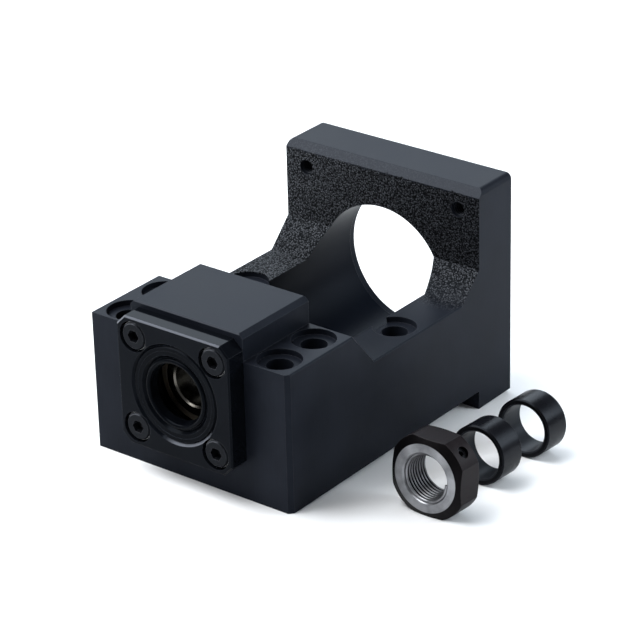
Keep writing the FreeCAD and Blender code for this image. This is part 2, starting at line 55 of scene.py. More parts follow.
CAMERA_TARGET = (0.0, 0.0325, AXIS_HEIGHT)
# Direction to the front-left light: faces that look this way get a painted highlight.
WINDOW_WAY = (-0.27, -0.73, 0.63)
COOL_SHEEN = (0.74, 0.84, 1.0)
QUARTER_TURN = math.radians(90.0)

Colour = tuple[float, float, float]
Place = tuple[float, float, float]
Range = tuple[float, float]
Socket = bpy.types.NodeSocket
Feed = Socket | float | Colour | Place


class Lay(Enum):
    """Direction in which tool marks run on a surface, as the stretch of the pattern along X, Y and Z."""

    EVEN = (1.0, 1.0, 1.0)
    ACROSS = (0.04, 1.0, 1.0)
    LENGTHWISE = (1.0, 0.04, 1.0)
    UPRIGHT = (1.0, 1.0, 0.04)


class NodeMaker:
    """A node tree, with short ways to add nodes and join them."""

    def __init__(self, tree: bpy.types.NodeTree) -> None:
        """Start with the tree emptied.

        Args:
            tree: the tree.
        """
        self.tree = tree
        self.tree.nodes.clear()

    def feed(self, socket: Socket, value: Feed) -> None:
        """Join an output to an input, or set the input's own value.

        Args:
            socket: the input.
            value: an output to join it to, or the number or colour to set.
        """
        if isinstance(value, Socket):
            self.tree.links.new(value, socket)
        elif isinstance(value, tuple) and socket.type == "RGBA":
            socket.default_value = (*value, 1.0)
        else:
            socket.default_value = value

    def add(self, kind: str, feeds: dict[str | int, Feed], **options: str) -> bpy.types.Node:
        """Add a node with its options set and its inputs fed.

        Args:
            kind: Blender's name for the node type.
            feeds: a value or an output for each input, by the input's name or number.
            options: the node's own settings.

        Returns:
            The node.
        """
        node = self.tree.nodes.new(kind)
        for option, value in options.items():
            setattr(node, option, value)
        for key, value in feeds.items():
            self.feed(node.inputs[key], value)
        return node

    def sum(self, operation: str, one: Feed, other: Feed = 0.0) -> Socket:
        """Work out one step of arithmetic.

        Args:
            operation: Blender's name for the step, such as MULTIPLY.
            one: the first number.
            other: the second number.

        Returns:
            The result.
        """
        return self.add("ShaderNodeMath", {0: one, 1: other}, operation=operation).outputs[0]


class FinishTree(NodeMaker):
    """A material's node tree, with the patterns and masks that the finishes share."""

    BLOTCH_RANGE: Range = (0.3, 0.7)
    GRAIN_HEIGHTS: Range = (0.3, 1.0)
    GRAIN_DOME: Range = (0.62, 0.12)
    WEAR_AND_HIGHLIGHT_RANGE: Range = (0.985, 0.86)
    FACING_RANGE: Range = (0.90, 0.96)

    def __init__(self, name: str) -> None:
        """Start an empty material.

        Args:
            name: the material's name.
        """
        self.material = bpy.data.materials.new(name)
        self.material.use_nodes = True
        super().__init__(self.material.node_tree)
        coordinates = self.add("ShaderNodeTexCoord", {}).outputs
        self.place, self.normal = coordinates["Object"], coordinates["Normal"]

    def ramp(self, value: Feed, start: float, end: float) -> Socket:
        """Rise from nothing to one as a value goes from start to end, or fall where end is the lower.

        Args:
            value: the number to judge.
            start: where the result is still nothing.
            end: where the result reaches one.

        Returns:
            The result, from 0 to 1.
        """
        feeds = {"Value": value, "From Min": start, "From Max": end}
        return self.add("ShaderNodeMapRange", feeds, clamp=True).outputs["Result"]

    def span(self, factor: Feed, low: float, high: float) -> Socket:
        """Spread a factor from 0 to 1 over a range of numbers.

        Args:
            factor: the factor.
            low: the number at 0.
            high: the number at 1.

        Returns:
            The number.
        """
        feeds = {"Value": factor, "To Min": low, "To Max": high}
        return self.add("ShaderNodeMapRange", feeds, clamp=True).outputs["Result"]

    def blend(self, factor: Feed, one: Feed, other: Feed) -> Socket:
        """Mix two colours.

        Args:
            factor: share of the second colour.
            one: the first colour.
            other: the second colour.

        Returns:
            The mixed colour.
        """
        mix = self.add("ShaderNodeMix", {}, data_type="RGBA")
        inputs = {socket.identifier: socket for socket in mix.inputs}
        self.feed(inputs["Factor_Float"], factor)
        self.feed(inputs["A_Color"], one)
        self.feed(inputs["B_Color"], other)
        return next(socket for socket in mix.outputs if socket.identifier == "Result_Color")

    def mixed(self, share: float, one: Feed, other: Feed) -> Socket:
        """Mix two numbers.

        Args:
            share: share of the second number.
            one: the first number.
            other: the second number.

        Returns:
            The mixed number.
        """
        return self.sum("ADD", self.sum("MULTIPLY", one, 1.0 - share), self.sum("MULTIPLY", other, share))

    def split(self, vector: Socket) -> tuple[Socket, ...]:
        """Give the three numbers of a vector."""
        return tuple(self.add("ShaderNodeSeparateXYZ", {0: vector}).outputs)

    def noise(self, grain: float, lay: Lay = Lay.EVEN, detail: float = 3.0,
              place: Socket | None = None) -> Socket:
        """Make an uneven pattern.

        Args:
            grain: size of the pattern's features across the lay.
            lay: direction in which the features are drawn out.
            detail: number of finer layers on top.
            place: coordinates to read instead of the object's own.

        Returns:
            The pattern, centred on one half.
        """
        stretched = self.add("ShaderNodeMapping", {"Vector": place or self.place, "Scale": lay.value})
        feeds = {"Vector": stretched.outputs[0], "Scale": 1.0 / grain, "Detail": detail}
        return self.add("ShaderNodeTexNoise", feeds).outputs[0]

    def blotches(self, size: float, detail: float = 4.0) -> Socket:
        """Make soft blotches of a size, from 0 to 1."""
        return self.ramp(self.noise(size, detail=detail), *self.BLOTCH_RANGE)

    def grains(self, size: float) -> Socket:
        """Make a skin of small domed grains, some higher than others.

        Args:
            size: distance between the grains.

        Returns:
            The pattern, from 0 between the grains to 1 on the highest.
        """
        cells = self.add("ShaderNodeTexVoronoi", {"Vector": self.place, "Scale": 1.0 / size}).outputs
        height = self.span(self.split(cells["Color"])[0], *self.GRAIN_HEIGHTS)
        return self.sum("MULTIPLY", height, self.ramp(cells["Distance"], *self.GRAIN_DOME))

    def bump(self, height: Feed, depth: float, strength: Feed = 1.0,
             under: Socket | None = None) -> Socket:
        """Turn a pattern into relief.

        Args:
            height: the pattern.
            depth: distance from its lowest to its highest point.
            strength: share of the relief that shows.
            under: a relief that this one lies on.

        Returns:
            The bumped normal.
        """
        feeds = {"Height": height, "Distance": depth, "Strength": strength}
        if under is not None:
            feeds["Normal"] = under
        return self.add("ShaderNodeBump", feeds).outputs[0]

    def rounded(self, radius: float) -> Socket:
        """Give the normal of faces whose sharp edges are rounded off by a radius."""
        return self.add("ShaderNodeBevel", {"Radius": radius}).outputs[0]

    def wear_and_highlight_edges(self, rounding: Socket) -> Socket:
        """Find the edges, where a rounded normal leaves the face's own, for an edge colour that is partly wear and
        partly painted highlight.

        Args:
            rounding: the rounded normal.

        Returns:
            1 on sharp edges and 0 on faces.
        """
        return self.ramp(self.agreement(rounding, self.normal), *self.WEAR_AND_HIGHLIGHT_RANGE)

    def facing(self, way: Place) -> Socket:
        """Find the faces that look a given way.

        Args:
            way: the direction, of length one.

        Returns:
            1 on those faces and 0 on faces turned from it.
        """
        return self.ramp(self.agreement(self.normal, way), *self.FACING_RANGE)

    def agreement(self, one: Feed, other: Feed) -> Socket:
        """Give how far two directions agree: 1 where they are the same and 0 where they are square."""
        return self.add("ShaderNodeVectorMath", {0: one, 1: other}, operation="DOT_PRODUCT").outputs["Value"]

    def from_axis(self, across: Socket, up: Socket) -> Socket:
        """Give the distance from a lengthwise axis, out of the distances across and up from it."""
        return self.sum("SQRT", self.sum("ADD", self.sum("POWER", across, 2.0), self.sum("POWER", up, 2.0)))

    def surface(self, **feeds: Feed) -> bpy.types.Material:
        """Close the tree with its surface shader.

        Args:
            feeds: the shader's inputs, by their names in lower case with underscores.

        Returns:
            The material.
        """
        named = {key.replace("_", " ").title().replace("Ior", "IOR"): value for key, value in feeds.items()}
        shader = self.add("ShaderNodeBsdfPrincipled", named)
        self.add("ShaderNodeOutputMaterial", {"Surface": shader.outputs[0]})
        return self.material


class Finish(ABC):
    """A finish that dresses the pieces it is given."""

    @abstractmethod
    def material(self) -> bpy.types.Material:
        """Make the finish's material."""

    @functools.cache
    def shared(self) -> bpy.types.Material:
        """Give the finish's one material, made when it is first asked for."""
        return self.material()

    def dress(self, piece: bpy.types.Object) -> None:
        """Give a piece this finish all over."""
        piece.data.materials.clear()
        piece.data.materials.append(self.shared())


@dataclass(frozen=True)
class BlackOxide(Finish):
    """Black oxide on machined steel, with faint blotches and tool marks, its edges lighter as wear and painted
    highlight, and a painted highlight on faces that look towards the front-left light.
    """

    name: str
    deep: Colour
    light: Colour
    polish: float
    haze: float
    gloss: float = 0.08
    sheen: Colour = COOL_SHEEN
    lay: Lay = Lay.EVEN
    mark_size: float = 0.00025
    mark_depth: float = 0.00001
    mark_share: float = 0.45
    blotch_size: float = 0.012
    edge_radius: float = 0.00018
    # Lighter edges: partly wear, partly painted highlight.
    edge_wear_and_highlight: Colour = (0.045, 0.048, 0.055)
    # Painted highlight on faces that look towards the front-left light.
    window_highlight: Colour = (0.030, 0.032, 0.037)

    def material(self) -> bpy.types.Material:
        """Make the oxide's material."""
        tree = FinishTree(self.name)
        marks = tree.noise(self.mark_size, self.lay)
        shade = tree.mixed(self.mark_share, tree.blotches(self.blotch_size), marks)
        rounding = tree.rounded(self.edge_radius)
        edged_colour = tree.blend(tree.wear_and_highlight_edges(rounding), tree.blend(shade, self.deep, self.light), self.edge_wear_and_highlight)
        return tree.surface(
            base_color=tree.blend(tree.facing(WINDOW_WAY), edged_colour, self.window_highlight),
            roughness=tree.span(shade, self.polish, self.haze),
            specular_ior_level=self.gloss,
            specular_tint=self.sheen,
            normal=tree.bump(marks, self.mark_depth, under=rounding),
        )


@dataclass(frozen=True)
class CastOxide(Finish):
    """The bracket's black oxide: smooth where it was milled, grainy where the casting was left as it came."""

    name: str
    block_back: float
    wall_top: float
    web_top: float
    plate_top: float
    plate_bevel: float
    axis_height: float
    trough_radius: float
    deep: Colour = (0.0046, 0.0056, 0.0084)
    light: Colour = (0.0122, 0.0143, 0.0200)
    # Painted shade: the trough is coloured darker than the milled faces, and darker still against the block.
    bored: Colour = (0.0018, 0.0030, 0.0062)
    shade_by_block: Colour = (0.0006, 0.0008, 0.0012)
    pit: Colour = (0.0004, 0.0005, 0.0006)
    # Grain crests: the casting's grain, lightened far beyond the oxide as a painted glint.
    crest_glint: Colour = (0.1600, 0.1700, 0.1900)
    # Painted shade: the grain's crests darken towards the plate's right.
    right_side_shade: Colour = (0.0660, 0.0700, 0.0800)
    # Lighter edges: partly wear, partly painted highlight.
    edge_wear_and_highlight: Colour = (0.036, 0.039, 0.046)
    # Painted highlight on faces that look towards the front-left light.
    window_highlight: Colour = (0.034, 0.037, 0.044)
    sheen: Colour = COOL_SHEEN
    gloss: float = 0.05
    milled_satin: Range = (0.35, 0.47)
    bored_satin: Range = (0.34, 0.44)
    skin_haze: float = 0.16
    blotch_size: float = 0.016
    grain_size: float = 0.00044
    grain_depth: float = 0.00030
    mark_size: float = 0.0003
    mark_depth: float = 0.000008
    mark_share: float = 0.4
    edge_radius: float = 0.00022
    face_slack: float = 0.0004
    half_way: Range = (0.001, -0.001)
    forward: Range = (-0.3, -0.4)
    square: Range = (0.85, 0.95)
    milled_until: Range = (0.052, 0.062)
    block_shade_ends: Range = (0.008, 0.034)
    right_shade_span: Range = (-0.030, 0.022)
    bevel_skin: float = 0.15
    ragged: float = 0.0012
    cutter_radius: float = 0.045
    cutter_feed: float = 0.0012
    arc_range: Range = (-1.5, 2.5)

    @property
    def bevel_foot(self) -> Range:
        """Give the heights between which the plate's top chamfer begins."""
        return self.plate_top - self.plate_bevel - self.face_slack, self.plate_top - self.plate_bevel

    def cast_zone(self, tree: FinishTree) -> Socket:
        """Find where the casting's skin was left.

        The plate's front and the webs under it keep the skin, and so do the tops of the side walls, apart from
        the right one, which the milling cutter ran over as far as the foot of its web.

        Args:
            tree: the material's tree.

        Returns:
            1 on the skin and 0 on milled faces.
        """
        across, along, up = tree.split(tree.place)
        _, facing_along, facing_up = tree.split(tree.normal)
        behind = tree.ramp(along, self.block_back, self.block_back + self.face_slack)
        above = tree.ramp(up, self.wall_top - self.face_slack, self.wall_top - self.face_slack / 2)
        below = tree.ramp(up, self.wall_top + self.face_slack, self.wall_top + self.face_slack / 2)
        kept = tree.sum("MAXIMUM", tree.ramp(along, *self.milled_until), tree.ramp(across, *self.half_way))
        uneven = tree.sum("ADD", up, tree.span(tree.noise(self.ragged), -self.ragged, self.ragged))
        below_bevel = tree.span(tree.ramp(uneven, *self.bevel_foot), 1.0, self.bevel_skin)
        front = tree.sum("MULTIPLY", tree.ramp(facing_along, *self.forward), below_bevel)
        tops = tree.sum("MULTIPLY", tree.ramp(facing_up, *self.square), below)
        reached = tree.sum("MULTIPLY", tree.sum("MULTIPLY", above, behind), kept)
        return tree.sum("MULTIPLY", tree.sum("MAXIMUM", front, tops), reached)

    def bored_zone(self, tree: FinishTree) -> Socket:
        """Find the bored trough between the block and the motor's face.

        Args:
            tree: the material's tree.

        Returns:
            1 in the trough and 0 elsewhere.
        """
        across, along, up = tree.split(tree.place)
        radius = tree.from_axis(across, tree.sum("SUBTRACT", up, self.axis_height))
        inside = tree.ramp(radius, self.trough_radius + self.face_slack, self.trough_radius + self.face_slack / 2)
        return tree.sum("MULTIPLY", inside, tree.ramp(along, self.block_back, self.block_back + self.face_slack))

    def right_shade_zone(self, tree: FinishTree) -> Socket:
        """Find the plate's front, where the skin is painted in shade that deepens from the left to the right.

        Args:
            tree: the material's tree.

        Returns:
            0 at the left and on the webs, rising to 1 at the right.
        """
        across, _, up = tree.split(tree.place)
        on_plate = tree.ramp(up, self.web_top - self.face_slack, self.web_top + self.face_slack)
        return tree.sum("MULTIPLY", on_plate, tree.ramp(across, *self.right_shade_span))

    def tool_marks(self, tree: FinishTree) -> Socket:
        """Make the milling marks: upright on the sides, and arcs of the face cutter on what looks to the motor.

        Args:
            tree: the material's tree.

        Returns:
            The pattern, centred on one half.
        """
        across, _, up = tree.split(tree.place)
        height = tree.sum("SUBTRACT", up, self.axis_height)
        lag = tree.sum("SQRT", tree.sum("SUBTRACT", self.cutter_radius ** 2, tree.sum("POWER", height, 2.0)))
        travel = tree.add("ShaderNodeCombineXYZ", {0: tree.sum("SUBTRACT", across, lag)}).outputs[0]
        arcs = tree.span(tree.noise(self.cutter_feed, detail=4.0, place=travel), *self.arc_range)
        motor_side = tree.ramp(tree.split(tree.normal)[1], *self.square)
        return tree.blend(motor_side, tree.noise(self.mark_size, Lay.UPRIGHT), arcs)

    def material(self) -> bpy.types.Material:
        """Make the casting's material."""
        tree = FinishTree(self.name)
        _, along, up = tree.split(tree.place)
        skin = self.cast_zone(tree)
        marks = self.tool_marks(tree)
        shade = tree.mixed(self.mark_share, tree.blotches(self.blotch_size), marks)
        grain = tree.grains(self.grain_size)
        # Painted shade in the trough, deepest against the block.
        clear_of_block_shade = tree.ramp(along, *(self.block_back + end for end in self.block_shade_ends))
        trough_shade_colour = tree.blend(clear_of_block_shade, self.shade_by_block, self.bored)
        bored = self.bored_zone(tree)
        milled_colour = tree.blend(bored, tree.blend(shade, self.deep, self.light), trough_shade_colour)
        cast_colour = tree.blend(grain, self.pit, tree.blend(self.right_shade_zone(tree), self.crest_glint, self.right_side_shade))
        rounding = tree.rounded(self.edge_radius)
        tooled = tree.bump(marks, self.mark_depth, under=rounding)
        # Painted highlight on the block's faces and the plate's top chamfer where they look towards the front-left
        # light.
        on_block = tree.ramp(along, self.block_back, self.block_back - self.face_slack)
        on_top = tree.ramp(up, *self.bevel_foot)
        highlit_bevels = tree.sum("MULTIPLY", tree.facing(WINDOW_WAY), tree.sum("MAXIMUM", on_block, on_top))
        edged_colour = tree.blend(highlit_bevels, tree.blend(tree.wear_and_highlight_edges(rounding), milled_colour, self.edge_wear_and_highlight), self.window_highlight)
        satin = tree.blend(bored, tree.span(shade, *self.milled_satin), tree.span(shade, *self.bored_satin))
        return tree.surface(
            base_color=tree.blend(skin, edged_colour, cast_colour),
            roughness=tree.sum("ADD", satin, tree.sum("MULTIPLY", skin, self.skin_haze)),
            specular_ior_level=self.gloss,
            specular_tint=self.sheen,
            normal=tree.bump(grain, self.grain_depth, skin, tooled),
        )


@dataclass(frozen=True)
class TurnedOxide(Finish):
    """Oxide on a turned piece that lies in the row, with the bright steel that facing and boring left bare."""

    name: str
    centre: Place
    tilt: float
    mouth_radius: float
    half_length: float = 0.0
    face_radius: float = 0.0
    thread_root: float = 0.0
    thread_crest: float = -0.0001
    deep: Colour = (0.0044, 0.0034, 0.0038)
    light: Colour = (0.0110, 0.0086, 0.0096)
    end_black: Colour = (0.0012, 0.0011, 0.0013)
    # Lighter edges: partly wear, partly painted highlight.
    edge_wear_and_highlight: Colour = (0.040, 0.036, 0.039)
    gloss: float = 0.06
    sheen: Colour = (1.0, 0.90, 0.95)
    polish: float = 0.34
    haze: float = 0.48
    steel: Colour = (0.34, 0.345, 0.36)
    dull_steel: Colour = (0.075, 0.077, 0.083)
    # Painted shade in the thread's valleys, past the mouth.
    valley_shade: Colour = (0.006, 0.006, 0.007)
    steel_satin: Range = (0.3, 0.42)
    brightness: float = 1.0
    mark_size: float = 0.0003
    mark_depth: float = 0.00002
    mark_share: float = 0.5
    scuff_size: float = 0.0018
    scuff_range: Range = (0.35, 0.7)
    scuff_share: float = 0.4
    ring_size: float = 0.00022
    ring_depth: float = 0.000012
    ring_drift: float = 0.2
    sweep_size: float = 0.7
    sweep_range: Range = (0.35, 0.65)
    sweep_share: float = 0.45
    end_range: Range = (0.25, 0.45)
    edge_radius: float = 0.0002
    slack: float = 0.0001
    rim_slack: float = 0.00002
    valley_rise: float = 0.00025
    mouth_ends: Range = (0.0006, 0.0012)

    def material(self) -> bpy.types.Material:
        """Make the turned piece's material."""
        tree = FinishTree(self.name)
        feeds = {"Vector": tree.place, "Location": self.centre, "Rotation": (self.tilt, 0.0, 0.0)}
        own = tree.add("ShaderNodeMapping", feeds, vector_type="TEXTURE").outputs[0]
        across, along, up = tree.split(own)
        radius = tree.from_axis(across, up)
        depth = tree.sum("ABSOLUTE", along)
        on_face = tree.ramp(depth, self.half_length - self.slack, self.half_length - self.slack / 2)
        inside = tree.ramp(radius, self.face_radius + self.rim_slack, self.face_radius - self.rim_slack)
        bored = tree.ramp(radius, self.mouth_radius + self.slack, self.mouth_radius)
        threaded = tree.ramp(radius, self.thread_root + self.slack, self.thread_root)
        sunk = tree.ramp(radius, self.thread_crest + self.rim_slack, self.thread_crest + self.valley_rise)
        past_mouth = tree.ramp(depth, *(self.half_length - end for end in self.mouth_ends))
        shaded_valleys = tree.sum("MULTIPLY", threaded, tree.sum("MULTIPLY", sunk, past_mouth))
        bare = tree.sum("MAXIMUM", tree.sum("MULTIPLY", on_face, inside), bored)

        drift = tree.sum("MULTIPLY", along, self.ring_drift)
        rings = tree.add("ShaderNodeCombineXYZ", {0: radius, 1: drift}).outputs[0]
        turned = tree.noise(self.ring_size, place=rings)
        outwards = tree.add("ShaderNodeCombineXYZ", {0: across, 2: up}).outputs[0]
        around = tree.add("ShaderNodeVectorMath", {0: outwards}, operation="NORMALIZE").outputs[0]
        swept = tree.ramp(tree.noise(self.sweep_size, detail=1.0, place=around), *self.sweep_range)
        scuffs = tree.ramp(tree.noise(self.scuff_size, detail=4.0), *self.scuff_range)
        marks = tree.noise(self.mark_size, Lay.LENGTHWISE)
        steel_shade = tree.blend(self.sweep_share, tree.blend(self.scuff_share, turned, scuffs), swept)
        skin_shade = tree.blend(self.mark_share, scuffs, marks)
        # Painted shade in the thread's valleys.
        steel_colour = tree.blend(shaded_valleys, tree.blend(steel_shade, self.dull_steel, self.steel), self.valley_shade)
        lengthwise = tree.sum("ABSOLUTE", tree.agreement(tree.normal, (0.0, 1.0, 0.0)))
        ends = tree.ramp(lengthwise, *self.end_range)
        skin_colour = tree.blend(ends, tree.blend(skin_shade, self.deep, self.light), self.end_black)
        rounding = tree.rounded(self.edge_radius)
        skin_colour = tree.blend(tree.wear_and_highlight_edges(rounding), skin_colour, self.edge_wear_and_highlight)
        skin_satin = tree.span(skin_shade, self.polish, self.haze)
        skin_relief = tree.bump(marks, self.mark_depth * self.mark_share, under=rounding)
        return tree.surface(
            base_color=tree.blend(bare, skin_colour, steel_colour),
            metallic=tree.sum("MULTIPLY", bare, self.brightness),
            roughness=tree.blend(bare, skin_satin, tree.span(steel_shade, *self.steel_satin)),
            specular_ior_level=self.gloss,
            specular_tint=self.sheen,
            normal=tree.bump(turned, self.ring_depth, bare, skin_relief),
        )


@dataclass(frozen=True)
class BrightMetal(Finish):
    """Bare metal, ground or polished, under a thin film of oil."""

    name: str
    deep: Colour
    light: Colour
    polish: float
    haze: float
    lay: Lay = Lay.EVEN
    mark_size: float = 0.00015
    mark_depth: float = 0.000004
    film_size: float = 0.005

    def material(self) -> bpy.types.Material:
        """Make the metal's material."""
        tree = FinishTree(self.name)
        marks = tree.noise(self.mark_size, self.lay)
        return tree.surface(
            base_color=tree.blend(tree.blotches(self.film_size), self.deep, self.light),
            metallic=1.0,
            roughness=tree.span(marks, self.polish, self.haze),
            normal=tree.bump(marks, self.mark_depth),
        )


@dataclass(frozen=True)
class Moulding(Finish):
    """A moulded rubber or plastic with a fine skin, with a painted highlight on its rims."""

    name: str
    deep: Colour
    light: Colour
    # Painted highlight on the rims.
    rim_highlight: Colour
    polish: float
    haze: float
    gloss: float = 0.5
    sheen: Colour = (1.0, 1.0, 1.0)
    rim_radius: float = 0.00015
    skin_size: float = 0.0002
    skin_depth: float = 0.00001
    flow_size: float = 0.004

    def material(self) -> bpy.types.Material:
        """Make the moulding's material."""
        tree = FinishTree(self.name)
        skin = tree.noise(self.skin_size)
        flow = tree.blotches(self.flow_size, detail=3.0)
        rounding = tree.rounded(self.rim_radius)
        return tree.surface(
            base_color=tree.blend(tree.wear_and_highlight_edges(rounding), tree.blend(flow, self.deep, self.light), self.rim_highlight),
            roughness=tree.span(flow, self.polish, self.haze),
            specular_ior_level=self.gloss,
            specular_tint=self.sheen,
            normal=tree.bump(skin, self.skin_depth, under=rounding),
        )


@dataclass(frozen=True)
class Paper(Finish):
    """Pale backdrop paper with a faint mottle, and a painted glow that rises away from the mount."""

    name: str
    deep: Colour
    light: Colour
    roughness: float = 0.8
    gloss: float = 0.2
    mottle_size: float = 0.03
    lit_from: float = 0.35
    lit_fully: float = 1.5
    glow: float = 0.8

    def material(self) -> bpy.types.Material:
        """Make the paper's material."""
        tree = FinishTree(self.name)
        mottle = tree.blotches(self.mottle_size, detail=3.0)
        across, along, _ = tree.split(tree.place)
        lit = tree.ramp(tree.from_axis(across, along), self.lit_from, self.lit_fully)
        return tree.surface(
            base_color=tree.blend(mottle, self.deep, self.light),
            roughness=self.roughness,
            specular_ior_level=self.gloss,
            emission_color=self.light,
            emission_strength=tree.span(lit, 0.0, self.glow),
        )


def put(name: str, data: bpy.types.ID) -> bpy.types.Object:
    """Put a new object in the scene, at the origin.

    Args:
        name: the object's name.
        data: its mesh, lamp or lens.

    Returns:
        The object.
    """
    thing = bpy.data.objects.new(name, data)
    bpy.context.scene.collection.objects.link(thing)
    return thing


class NodeRecipe(NodeMaker):
    """A Geometry Nodes tree with named inputs, run once for each piece that it makes."""

    def __init__(self, name: str, inputs: dict[str, str]) -> None:
        """Start an empty tree.

        Args:
            name: the tree's name.
            inputs: the type of socket for each named input.
        """
        super().__init__(bpy.data.node_groups.new(name, "GeometryNodeTree"))
        sockets = self.tree.interface
        for label, kind in {**inputs, "Material": "NodeSocketMaterial"}.items():
            sockets.new_socket(label, in_out="INPUT", socket_type=kind)
        sockets.new_socket("Geometry", in_out="OUTPUT", socket_type="NodeSocketGeometry")
        self.start = self.tree.nodes.new("NodeGroupInput")

    def size(self, label: str) -> Socket:
        """Give a named input of the tree."""
        return self.start.outputs[label]

    def close(self, shape: Socket) -> None:
        """End the tree: make its instances real and give them the material.

        Args:
            shape: the geometry to end with.
        """
        real = self.add("GeometryNodeRealizeInstances", {0: shape})
        dressed = self.add("GeometryNodeSetMaterial", {0: real.outputs[0], "Material": self.size("Material")})
        self.add("NodeGroupOutput", {0: dressed.outputs[0]})

    def make(self, sizes: dict[str, float | int], material: bpy.types.Material) -> bpy.types.Mesh:
        """Run the tree and keep its result as a plain mesh.

        Args:
            sizes: a value for each named input.
            material: the finish of the result.

        Returns:
            The mesh.
        """
        carrier = put("carrier", bpy.data.meshes.new("carrier"))
        modifier = carrier.modifiers.new("recipe", "NODES")
        modifier.node_group = self.tree
        values = {**sizes, "Material": material}
        for socket in self.tree.interface.items_tree:
            if socket.in_out == "INPUT":
                modifier[socket.identifier] = values[socket.name]
        evaluated = carrier.evaluated_get(bpy.context.evaluated_depsgraph_get())
        mesh = bpy.data.meshes.new_from_object(evaluated)
        bpy.data.objects.remove(carrier)
        return mesh


class ThreadRecipe(NodeRecipe):
    """A thread's ridge, swept along a helix about Z and pointing inwards from the root of the thread."""

    CREST_SHARE = 0.22
    FOOT_SHARE = 0.80
    SINK = 0.00003

    def __init__(self) -> None:
        """Build the tree."""
        super().__init__("thread_ridge", {
            "Root Radius": "NodeSocketFloat",
            "Depth": "NodeSocketFloat",
            "Pitch": "NodeSocketFloat",
            "Length": "NodeSocketFloat",
            "Turn Steps": "NodeSocketInt",
        })
        depth = self.sum("ADD", self.size("Depth"), self.SINK)
        middle = self.sum("SUBTRACT", self.sum("ADD", self.size("Root Radius"), self.SINK),
                          self.sum("DIVIDE", depth, 2.0))
        helix = self.add("GeometryNodeCurveSpiral", {
            "Resolution": self.size("Turn Steps"),
            "Rotations": self.sum("DIVIDE", self.size("Length"), self.size("Pitch")),
            "Start Radius": middle,
            "End Radius": middle,
            "Height": self.size("Length"),
            "Reverse": True,
        })
        upright = self.add("GeometryNodeSetCurveNormal", {"Curve": helix.outputs[0]}, mode="Z_UP")
        tooth = self.add("GeometryNodeCurvePrimitiveQuadrilateral", {
            "Height": depth,
            "Bottom Width": self.sum("MULTIPLY", self.size("Pitch"), self.FOOT_SHARE),
            "Top Width": self.sum("MULTIPLY", self.size("Pitch"), self.CREST_SHARE),
            "Offset": 0.0,
        }, mode="TRAPEZOID")
        turned = self.add("GeometryNodeTransform", {
            "Geometry": tooth.outputs[0],
            "Rotation": (0.0, 0.0, QUARTER_TURN),
        })
        ridge = self.add("GeometryNodeCurveToMesh", {
            "Curve": upright.outputs[0],
            "Profile Curve": turned.outputs[0],
            "Fill Caps": True,
        })
        centred = self.add("GeometryNodeTransform", {
            "Geometry": ridge.outputs[0],
            "Translation": self.add("ShaderNodeCombineXYZ", {
                "Z": self.sum("MULTIPLY", self.size("Length"), -0.5),
            }).outputs[0],
        })
        self.close(centred.outputs[0])


class KnurlRecipe(NodeRecipe):
    """Straight knurling: a ring of small ribs that stand on a cylinder about Z."""

    def __init__(self) -> None:
        """Build the tree."""
        super().__init__("straight_knurl", {
            "Radius": "NodeSocketFloat",
            "Height": "NodeSocketFloat",
            "Rib Width": "NodeSocketFloat",
            "Count": "NodeSocketInt",
        })
        ring = self.add("GeometryNodeMeshCircle", {"Vertices": self.size("Count"), "Radius": self.size("Radius")})
        rib = self.add("GeometryNodeMeshCylinder", {
            "Vertices": 4,
            "Radius": self.sum("DIVIDE", self.size("Rib Width"), 2.0),
            "Depth": self.size("Height"),
        })
        outwards = self.add("FunctionNodeAlignRotationToVector", {
            "Vector": self.add("GeometryNodeInputPosition", {}).outputs[0],
        }, axis="X")
        ribs = self.add("GeometryNodeInstanceOnPoints", {
            "Points": ring.outputs[0],
            "Instance": rib.outputs[0],
            "Rotation": outwards.outputs[0],
        })
        self.close(ribs.outputs[0])


def laid(mesh: bpy.types.Mesh, middle: Place) -> bpy.types.Mesh:
    """Lay a mesh that was made about Z along Y.

    Args:
        mesh: the mesh.
        middle: the point that its middle moves to.

    Returns:
        The same mesh.
    """
    mesh.transform(Matrix.Translation(middle) @ Matrix.Rotation(QUARTER_TURN, 4, "X"))
    return mesh


def joined(name: str, meshes: list[bpy.types.Mesh]) -> bpy.types.Mesh:
    """Put several meshes of one material into one.

    Args:
        name: the new mesh's name.
        meshes: the meshes, each in its place.

    Returns:
        The mesh that holds them all.
    """
    whole = bmesh.new()
    for mesh in meshes:
        whole.from_mesh(mesh)
    result = bpy.data.meshes.new(name)
    whole.to_mesh(result)
    whole.free()
    result.materials.append(meshes[0].materials[0])
    return result


class SubAssembly(ABC):
    """A group of pieces that is built and dressed together."""

    @abstractmethod
    def build(self) -> None:
        """Make the pieces that the solids leave out."""

    @abstractmethod
    def dress(self) -> None:
        """Give every piece its finish."""

    def dress_nodes(self, finish: Finish, *names: str) -> None:
        """Give solids a finish and report them.

        Args:
            finish: the finish.
            names: the solids' node names.
        """
        for name in names:
            finish.dress(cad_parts[name])
            LOG.info("%s: %s", name, finish.name)

    def keep(self, name: str, mesh: bpy.types.Mesh, body: str, slot: str) -> None:
        """Put a new piece in the scene.

        Args:
            name: the piece's name.
            mesh: its mesh, already in place.
            body: the body that it rides on.
            slot: the record's material slot for it, which is not used.
        """
        piece = put(name, mesh)
        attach(piece, body)
        LOG.info("%s: %d faces on %s", name, len(mesh.polygons), body)


